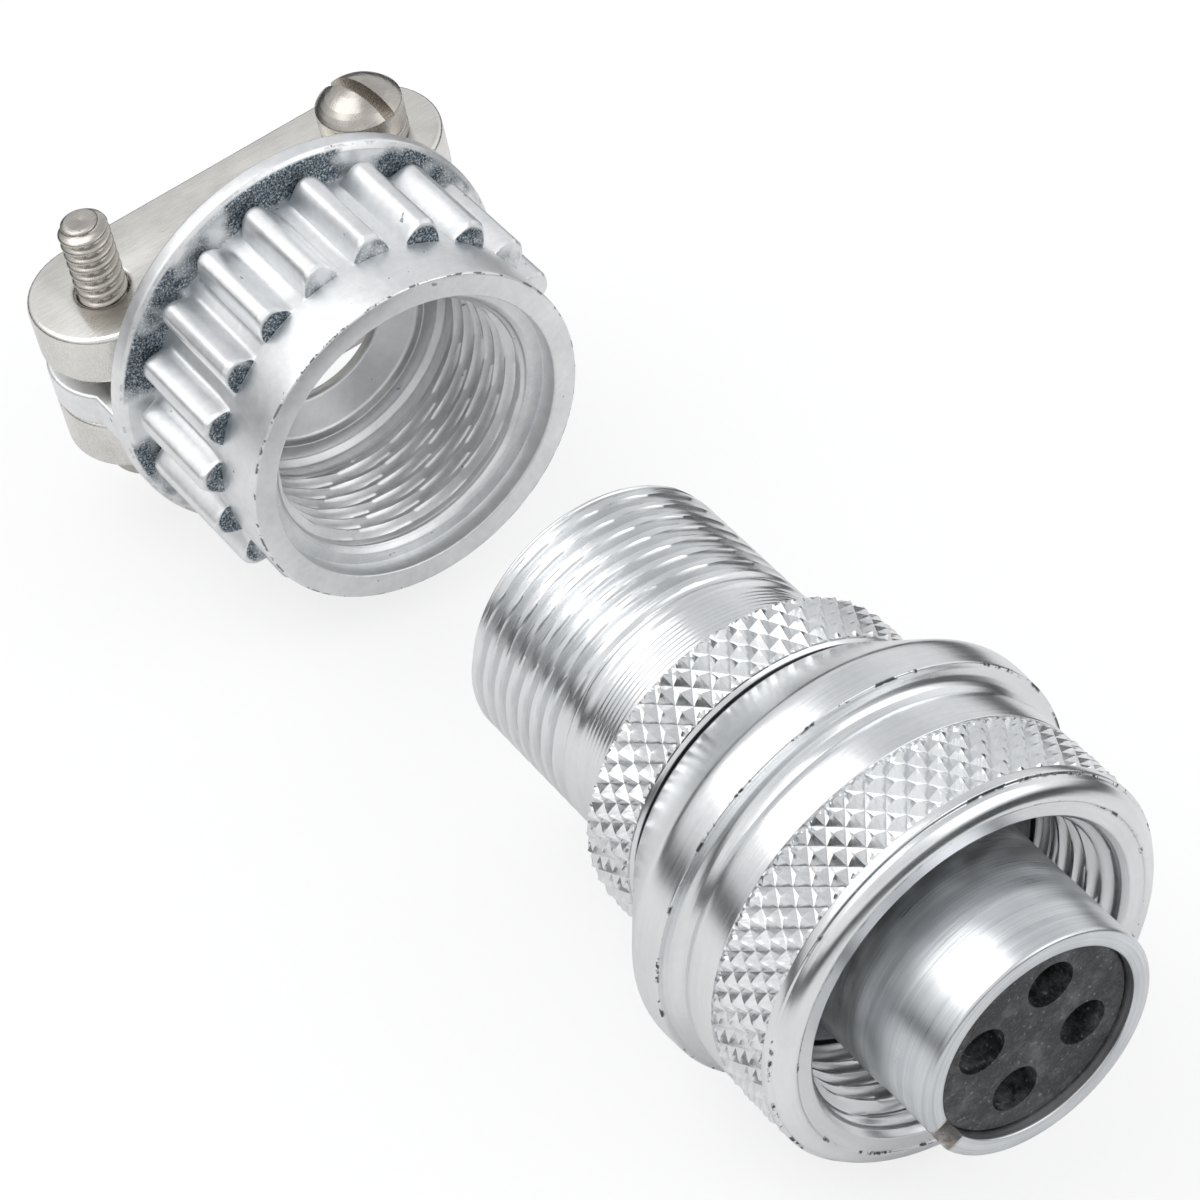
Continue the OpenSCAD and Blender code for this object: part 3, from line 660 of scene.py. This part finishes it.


# --- Clamp body -------------------------------------------------------------
# One zinc-plated die casting: a smooth mouth ring, ribs for the fingers, a thin
# flange and two arms that carry the bars. The mouth and its thread are turned
# after casting; the ribs' ends and the flange's face keep the die's dark grain,
# with painted shade that darkens them further as if they lay in shadow.

mouth_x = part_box("clamp_body")[1][0] / MM
clamp_travel = 32.3
roll = math.radians(11)
mouth_r = 12.45
valley_r = 12.2
rib_r = 13.9
rib_count = 20
rib_half = 0.35        # in rib pitches
rib_front = 4.2
rib_rear = 13.0
flange_r = 14.8
flange_rear = 14.5
cable_hole_r = 5.6
shoulder_u = 12.0
shoulder_r = 8.625
clamp_bore_r = 9.575
female_depth = 0.62
counterbore_r = 10.7
counterbore_u = 1.4
arm_half = 1.35
arm_inner_y = 6.5
arm_side = 4.0
arm_hole_r = 2.0
arm_root = flange_rear - 0.75
screw_u = 20.5
screw_y = 10.6
bar_end_r = 5.2

body_corners = [
    (0, counterbore_r), (0, mouth_r - 0.02), (3.6, mouth_r), (5.6, valley_r), (rib_rear - 0.06, valley_r),
    (rib_rear, valley_r + 0.1), (rib_rear + 0.04, flange_r - 0.55), (rib_rear + 0.4, flange_r - 0.02),
    (flange_rear, flange_r - 0.02), (flange_rear, cable_hole_r), (flange_rear - 0.8, cable_hole_r),
    (shoulder_u + 0.6, shoulder_r - 0.6), (shoulder_u, shoulder_r - 0.6), (shoulder_u, clamp_bore_r - 0.45),
    (shoulder_u - 0.45, clamp_bore_r), (counterbore_u + 0.35, clamp_bore_r),
    (counterbore_u, clamp_bore_r + 0.35), (counterbore_u, counterbore_r),
]
body_cuts = [0.15, 0.22, 1.2, 1.2, 0.03, 0.03, 0.06, 0.14, 0.2, 0.3, 0.25, 0.3] + 5 * [0.1] + [0.08]
body_outline = soften(body_corners, body_cuts, 5)
ribbed = lambda u, r: (u > rib_front - 0.3) & (u < rib_rear + 0.02) & (r > mouth_r - 1)
threaded = lambda u, r: (u > counterbore_u) & (u < shoulder_u - 0.1) & (abs(r - clamp_bore_r) < 0.2)
body_outline = refine(body_outline, 0.1, threaded)
body_outline = refine(body_outline, 0.3, ribbed)
for station in (rib_front - 0.01, rib_front + 0.01, rib_front + 0.1, rib_front + 0.22, rib_front + 0.4):
    body_outline = refine(body_outline, 0.02, lambda u, r: (abs(u - station) < 0.011) & (r > mouth_r - 1))
body_u, body_r = body_outline[:, :1], body_outline[:, 1:]
turn = angles(rib_count * 22)[None, :]

# Ribs: rounded across, upright at the front, rounded down at the rear
pitch_place = np.abs(((turn - roll) * rib_count / (2 * np.pi)) % 1 - 0.5)
rear_round = np.clip((body_u - (rib_rear - 1.15)) / 1.15, 0, 1)
width = np.sqrt((pitch_place / rib_half) ** 2 + rear_round ** 2 * 0.92)
section = 1 - np.clip((width - 0.2) / 0.8, 0, 1) ** 1.7
front_step = np.clip((body_u - rib_front + 0.01) / 0.10, 0, 1)
front_round = 1 - 0.12 * np.clip(1 - (body_u - rib_front - 0.08) / 0.3, 0, 1)
on_outside = (body_r > mouth_r - 1) & (body_u < rib_rear + 0.001)
rib_height = (rib_r - body_r) * section * front_step * front_round * on_outside * (body_r < rib_r)

# Thread turns in the bore, placed to mesh with the rear shell's when screwed home
in_bore = ((np.abs(body_r - clamp_bore_r) < 0.02) & (body_u > counterbore_u + 0.3)
           & (body_u < shoulder_u - 0.4))
body_x = mouth_x - body_u
fade_in = np.clip((body_u - counterbore_u - 0.35) / 1.0, 0, 1)
fade_out = np.clip((shoulder_u - 1.2 - body_u) / 0.8, 0, 1)
female = 1 - thread_form(body_x + clamp_travel, turn, clamp_thread_pitch, male_flank, male_root)
female_ridge = female * female_depth * in_bore * (fade_in * fade_out)
body_points = around_x(body_x, body_r + rib_height - female_ridge, turn)

# Where the die's dark grain stays, painted darker as shade on the rib ends and the flange's front face, and
# where the edges lose their plating
rib_end = (body_u > rib_front - 0.02) & (body_u < rib_front + 0.085) & on_outside
rib_end_grain_and_shade = np.where(rib_end, np.clip(section * 3.0, 0, 1), 0)
flange_face_grain_and_shade = ((body_u > rib_rear - 0.08) & (body_u < rib_rear + 0.1) & (body_r > valley_r - 0.1)
                & (body_r < flange_r - 0.4)).astype(float)
grain_bore = 0.35 * ((body_u > counterbore_u - 0.05) & (body_u < counterbore_u + 0.4)
                     & (body_r < counterbore_r) & (body_r > clamp_bore_r - 0.1))
grain = np.maximum(np.maximum(rib_end_grain_and_shade, flange_face_grain_and_shade), grain_bore) * np.ones_like(turn)
rim_edge = np.exp(-((np.hypot(body_u, body_r - mouth_r) / 0.16) ** 2))
flange_edge = np.exp(-((np.hypot(body_u - rib_rear - 0.2, body_r - flange_r + 0.25) / 0.22) ** 2))
edge_wear = (rim_edge + 0.7 * flange_edge) * np.ones_like(turn)


def in_clamp(points):
    """Turns points from the clamp's own frame (u back from the mouth, y across, z up) to its place."""
    u, y, z = np.moveaxis(np.asarray(points, float), -1, 0)
    c, s = math.cos(roll), math.sin(roll)
    return np.stack([mouth_x - u, y * c - z * s, y * s + z * c], axis=-1)


def slab(outline, holes, low, high, edge, taper=0.0, steps=5):
    """A plate between two heights: its outline and the walls of its holes meet its faces in
    quarter rounds. Each loop is moved along its own normals, and the flat faces are filled."""
    t = np.linspace(0, np.pi / 2, steps)
    inset = np.concatenate([edge * (1 - np.sin(t)), edge * (1 - np.sin(t))[::-1]])
    height = np.concatenate([low + edge * (1 - np.cos(t)), (high - edge * (1 - np.cos(t)))[::-1]])
    inset = inset + taper * (height - low) / (high - low)
    points, faces, caps = [], [], ([], [])
    start = 0
    for number, loop in enumerate([outline] + list(holes)):
        loop = np.asarray(loop, float)
        ahead = np.roll(loop, -1, 0) - loop
        behind = loop - np.roll(loop, 1, 0)
        ahead = ahead / np.linalg.norm(ahead, axis=1)[:, None]
        behind = behind / np.linalg.norm(behind, axis=1)[:, None]
        along = ahead + behind
        along /= np.linalg.norm(along, axis=1)[:, None]
        area = np.sum(loop[:, 0] * np.roll(loop[:, 1], -1) - loop[:, 1] * np.roll(loop[:, 0], -1))
        inward = np.stack([-along[:, 1], along[:, 0]], axis=1) * np.sign(area) * (1 if number == 0 else -1)
        rings = loop[None] + inward[None] * inset[:, None, None]
        levels = np.broadcast_to(height[:, None, None], (*rings.shape[:2], 1))
        stack = np.concatenate([rings, levels], axis=2)
        index = start + np.arange(len(height) * len(loop)).reshape(len(height), len(loop))
        lower, upper = index[:-1], index[1:]
        side = np.stack([lower, np.roll(lower, -1, 1), np.roll(upper, -1, 1), upper], axis=-1)
        side = side.reshape(-1, 4)
        outward = (area > 0) == (number == 0)
        faces.append(side if outward else side[:, ::-1])
        points.append(stack.reshape(-1, 3))
        caps[0].append(index[0])
        caps[1].append(index[-1])
        start += index.size
    points = np.concatenate(points)
    fills = []
    for loops, up in zip(caps, (False, True)):
        order = np.concatenate(loops)
        filled = tessellate_polygon([[Vector(points[i]) for i in loop] for loop in loops])
        fill = order[np.array(filled)]
        a, b, c = (points[fill[:, k], :2] for k in range(3))
        turned = ((b - a)[:, 0] * (c - a)[:, 1] - (b - a)[:, 1] * (c - a)[:, 0]) > 0
        fills.append(np.where((turned == up)[:, None], fill, fill[:, ::-1]))
    return points, faces, np.concatenate(fills)


def arc(centre, radius, start, end, steps=24):
    """Points on an arc between two angles, in degrees."""
    a = np.radians(np.linspace(start, end, steps))
    return np.stack([centre[0] + radius * np.cos(a), centre[1] + radius * np.sin(a)], axis=1)


def add_slab(shells, built, place):
    """Adds a slab to a list of shells: quads and triangles over one set of points each."""
    points, sides, fill = built
    placed = place(points)
    quads = np.concatenate(sides)
    triangles = np.concatenate([quads[:, [0, 1, 2]], quads[:, [0, 2, 3]], fill])
    corners = placed[triangles]
    volume = np.einsum("ij,ij->", corners[:, 0], np.cross(corners[:, 1], corners[:, 2]))
    shells.append((placed, triangles if volume > 0 else triangles[:, ::-1]))


body_shells = [(body_points, ring_faces(body_points))]
for side_sign in (-1, 1):
    arm_outline = np.vstack([
        [(arm_root, arm_inner_y), (screw_u + bar_end_r, arm_inner_y)],
        arc((screw_u, screw_y), bar_end_r, 0, 180 - math.degrees(math.asin(arm_side / bar_end_r)), 30),
        [(arm_root, screw_y + arm_side)],
    ])
    hole = arc((screw_u, screw_y), arm_hole_r, 0, 360, 41)[:-1]
    flip = np.array([1, side_sign])
    add_slab(body_shells, slab(arm_outline * flip, [hole * flip], -arm_half, arm_half, 0.3), in_clamp)

arm_marks = sum(len(s[0].reshape(-1, 3)) for s in body_shells[1:])
zeros = np.zeros(arm_marks)


def cast_plating():
    """Zinc plating over a die casting: near-white and cloudy, dark speckle where the die's grain
    is left, with painted shade on those rib ends and flange face, scratches, pits, and edges worn through in
    thin black chips."""
    material, shader, pattern = new_finish("cast_plating")
    place = object_millimetres(pattern)
    cloud = place.noise(0.28, 4.0, 0.6)
    mottle = place.noise(1.7, 4.0, 0.65)
    clean = (cloud * 0.6 + mottle * 0.4).between(0.34, 0.64).mix((0.76, 0.77, 0.78), (0.91, 0.915, 0.92))
    grain_and_shade_mark = pattern.node("Attribute", {"attribute_name": "grain"}, None, 2)
    worn_mark = pattern.node("Attribute", {"attribute_name": "worn"}, None, 2)
    speckle = place.noise(6.5, 3.0, 0.75)
    # Painted shade: the marked rib ends and flange face go near-black as if in shadow, mixed into the die's
    # speckled grain
    dark_grain_and_shade = speckle.node("ValToRGB", {"stops": [
        (0.34, (0.035, 0.05, 0.065)), (0.47, (0.10, 0.13, 0.155)), (0.56, (0.30, 0.34, 0.37)),
        (0.66, (0.72, 0.76, 0.78))]}, {0: speckle})
    patchy_grain_and_shade = grain_and_shade_mark.between(0.3, 0.7) * place.noise(0.13, 3.0, 0.7).between(0.40, 0.52)
    colour = patchy_grain_and_shade.mix(clean, dark_grain_and_shade)
    pits = place.noise(0.95, 2.0, 0.6).between(0.735, 0.755)
    chips = worn_mark.between(0.25, 0.75) * place.noise(0.75, 3.0, 0.7).between(0.52, 0.56)
    colour = (pits * 0.7).mix(colour, (0.20, 0.205, 0.21))
    colour = chips.mix(colour, (0.035, 0.035, 0.035))
    feed(shader, "Base Color", colour)
    feed(shader, "Roughness", 0.34 + mottle * 0.14 + patchy_grain_and_shade * 0.12 + chips * 0.3)
    feed(shader, "Metallic", 1 - chips * 0.8)
    height = mottle * 0.5 + speckle * patchy_grain_and_shade * 1.6 - pits * 0.8 - chips * 1.0
    bump = pattern.node("Bump", None, {"Strength": 0.6, "Distance": 0.00005, "Height": height})
    feed(shader, "Normal", bump)
    return material


clamp_finish = cast_plating()
clamp_body = make_piece("clamp_body_finished", body_shells, clamp_finish, 40, {
    "grain": np.concatenate([grain.ravel(), zeros]),
    "worn": np.concatenate([edge_wear.ravel(), zeros]),
})
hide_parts("clamp_body")
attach(clamp_body, "clamp")


# --- Clamp bars -------------------------------------------------------------
# Two like bars of nickel-plated steel, one turned over. Each has rounded ends,
# a clear and a tapped hole, and a hollow jaw that grips the cable between the
# arms.

bar_thickness = 4.0
bar_lift = 1.25
bar_base = arm_half + bar_lift
jaw_half_y = 6.1
jaw_drop = 1.25
jaw_r = 4.2
jaw_skin = 1.6
jaw_overlap = 1.0
screw_r = 1.75
clear_play = 0.25
tapped_play = 0.05


def nickel(name, light, dark, roughness):
    """Nickel over steel: warm grey, softly clouded, with drawn scratches and a few dark spots."""
    material, shader, pattern = new_finish(name)
    place = object_millimetres(pattern)
    cloud = place.noise(0.3, 3.0)
    stretched = pattern.node("VectorMath", {"operation": "MULTIPLY"}, {0: place, 1: (3.2, 0.35, 1.2)})
    scratches = stretched.noise(1.6, 4.0, 0.65)
    spots = place.noise(1.3, 2.0).between(0.75, 0.77)
    tone = (cloud * 0.6 + scratches * 0.4).between(0.36, 0.64).mix(dark, light)
    feed(shader, "Base Color", (spots * 0.6).mix(tone, (0.2, 0.19, 0.17)))
    feed(shader, "Roughness", roughness + scratches * 0.14 + cloud * 0.06)
    shader.inputs["Metallic"].default_value = 1.0
    bump = pattern.node("Bump", None, {"Strength": 0.5, "Distance": 0.00002, "Height": scratches - spots})
    feed(shader, "Normal", bump)
    return material


bar_nickel = nickel("bar_nickel", (0.82, 0.80, 0.76), (0.68, 0.66, 0.62), 0.18)


def bar_shape(name, body, tapped_side, flip):
    """One bar in the clamp's frame, from its base at height 0; flip turns it over."""
    outline = np.vstack([arc((screw_u, side * screw_y), bar_end_r, start, start + 180, 28)
                         for side, start in ((1, 0), (-1, 180))])
    holes = []
    for side in (-1, 1):
        hole_r = screw_r + (tapped_play if side == tapped_side else clear_play)
        holes.append(arc((screw_u, side * screw_y), hole_r, 0, 360, 41)[:-1])
    base = bar_base if flip > 0 else arm_half
    place = lambda p: in_clamp(np.stack([p[:, 0], p[:, 1], flip * (p[:, 2] + base)], 1))
    shells = []
    add_slab(shells, slab(outline, holes, 0, bar_thickness, 0.42), place)
    piece = make_piece(name, shells, bar_nickel, 40)

    # The jaw: a block that reaches down between the arms, then a round channel along the cable
    jaw_outline = [(-jaw_half_y, -jaw_drop), (jaw_half_y, -jaw_drop),
                   (jaw_half_y, jaw_overlap), (-jaw_half_y, jaw_overlap)]
    channel_outline = arc((0, bar_thickness - jaw_skin - jaw_r), jaw_r, 0, 360, 73)[:-1]
    for loop, reach, edge, operation in ((jaw_outline, bar_end_r - 0.02, 0.25, "UNION"),
                                         (channel_outline, bar_end_r + 2, 0.5, "DIFFERENCE")):
        points, sides, fill = slab(loop, [], screw_u - reach, screw_u + reach, edge, steps=4)
        tools = []
        add_slab(tools, (points[:, [2, 0, 1]], sides, fill), place)
        carve(piece, tools, operation)
    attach(piece, body)
    return piece


upper_bar = bar_shape("upper_bar_finished", "upper_bar", -1, 1)
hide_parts("upper_clamp_bar")
lower_bar = bar_shape("lower_bar_finished", "clamp", 1, -1)
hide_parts("lower_clamp_bar")


# --- Clamp screws and lock washers ------------------------------------------
# Slotted fillister-head machine screws in nickel-plated steel, with rolled
# threads, one from each side, and a split spring washer under each head.

screw_len = 19.0
screw_pitch = 0.794
screw_root = 0.40
head_r = 3.0
head_h = 3.4
head_dome = 1.5
slot_half = 0.45
slot_depth = 1.7
washer_t = 1.0
washer_in = 2.0
washer_out = 3.0
screw_nickel = nickel("screw_nickel", (0.56, 0.53, 0.49), (0.42, 0.395, 0.36), 0.17)


def on_bar(points, side, head_up, lift=0.0):
    """Points about a screw's axis, z out from its bar's outer face, in their place in the clamp."""
    flip = 1 if head_up else -1
    base = (bar_base if head_up else arm_half) + bar_thickness + lift
    x, y, z = np.moveaxis(points, -1, 0)
    return in_clamp(np.stack([screw_u - x, side * screw_y + flip * y, flip * (base + z)], axis=-1))


def screw_shape(name, body, side, head_up, slot_turn):
    """A screw along z: the shank's thread, a rounded head, then the slot cut across it."""
    dome = np.linspace(0, 1, 9)[1:-1]
    dome_r = (head_r ** 2 + head_dome ** 2) / (2 * head_dome)
    dome_out = head_r * np.cos(dome * np.pi / 2)
    dome_z = head_h - dome_r + np.sqrt(dome_r ** 2 - dome_out ** 2)
    corners = np.concatenate([
        [(-screw_len, 0.02), (-screw_len, 1.15), (-screw_len + 0.55, screw_r), (-0.4, screw_r),
         (0, screw_r + 0.15), (0, head_r - 0.1), (0.15, head_r), (head_h - head_dome, head_r)],
        np.stack([dome_z, dome_out], axis=1), [(head_h, 0.02)],
    ])
    cuts = np.full(len(corners), 0.04)
    cuts[[1, 2, 5]] = (0.2, 0.15, 0.08)
    outline = soften(corners, cuts, 3)
    outline = refine(outline, 0.066, lambda z, r: (z < -0.3) & (r > 0.8))
    z, r = outline[:, :1], outline[:, 1:]
    turn = angles(72)[None, :]
    waves = 0.5 - 0.5 * np.cos(2 * np.pi * (z / screw_pitch - turn / (2 * np.pi)))
    shank = np.clip((-0.5 - z) / 0.8, 0, 1) * (r > 1.0) * np.clip((z + screw_len) / 0.35, 0, 1)
    r = r - screw_root * waves ** 1.4 * shank
    points = np.stack([r * np.cos(turn), r * np.sin(turn), z * np.ones_like(turn)], axis=-1)
    c, s = math.cos(slot_turn), math.sin(slot_turn)
    turned = np.array([[c, s, 0], [-s, c, 0], [0, 0, 1.0]])
    placed = on_bar(points @ turned, side, head_up, washer_t)
    piece = make_piece(name, [(placed, ring_faces(placed))], screw_nickel, 40)
    slot_points, slot_faces = block((-head_r - 1, -slot_half, head_h - slot_depth),
                                    (head_r + 1, slot_half, head_h + 1))
    carve(piece, [(on_bar(slot_points @ turned, side, head_up, washer_t), slot_faces)])
    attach(piece, body)
    return piece


def washer_shape(name, body, side, head_up):
    """A split spring washer: a square bar carried round one turn, its ends a little apart."""
    t = np.linspace(0, 1, 60)
    a = np.radians(78 + t * 344)
    lift = (t - 0.5) * 0.10
    section = soften([(washer_in, 0.06), (washer_out, 0.06), (washer_out, washer_t - 0.06),
                      (washer_in, washer_t - 0.06)], 0.16)
    r = section[None, :, 0]
    z = section[None, :, 1] + lift[:, None]
    z = np.clip(z, 0.005, washer_t - 0.02)
    points = np.stack([r * np.cos(a)[:, None], r * np.sin(a)[:, None], z], axis=-1)
    placed = on_bar(points, side, head_up)
    rows, columns = placed.shape[:2]
    index = np.arange(rows * columns).reshape(rows, columns)
    near, far = index[:-1], index[1:]
    quads = np.stack([near, far, np.roll(far, -1, 1), np.roll(near, -1, 1)], -1).reshape(-1, 4)
    triangles = np.concatenate([quads[:, [0, 1, 2]], quads[:, [0, 2, 3]]])
    fan = np.arange(1, columns - 1)
    first = np.stack([0 * fan, fan, fan + 1], 1)
    last = np.stack([0 * fan, fan + 1, fan], 1) + (rows - 1) * columns
    triangles = np.concatenate([triangles, first, last])
    corners = placed.reshape(-1, 3)[triangles]
    volume = np.einsum("ij,ij->", corners[:, 0], np.cross(corners[:, 1], corners[:, 2]))
    triangles = triangles if volume > 0 else triangles[:, ::-1]
    piece = make_piece(name, [(placed, triangles)], spring, 40)
    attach(piece, body)
    return piece


left_screw = screw_shape("left_screw_finished", "left_screw", -1, False, math.radians(25))
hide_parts("left_clamp_screw")
right_screw = screw_shape("right_screw_finished", "right_screw", 1, True, math.radians(15))
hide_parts("right_clamp_screw")
left_washer = washer_shape("left_washer_finished", "left_screw", -1, False)
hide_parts("left_lock_washer")
right_washer = washer_shape("right_washer_finished", "right_screw", 1, True)
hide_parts("right_lock_washer")
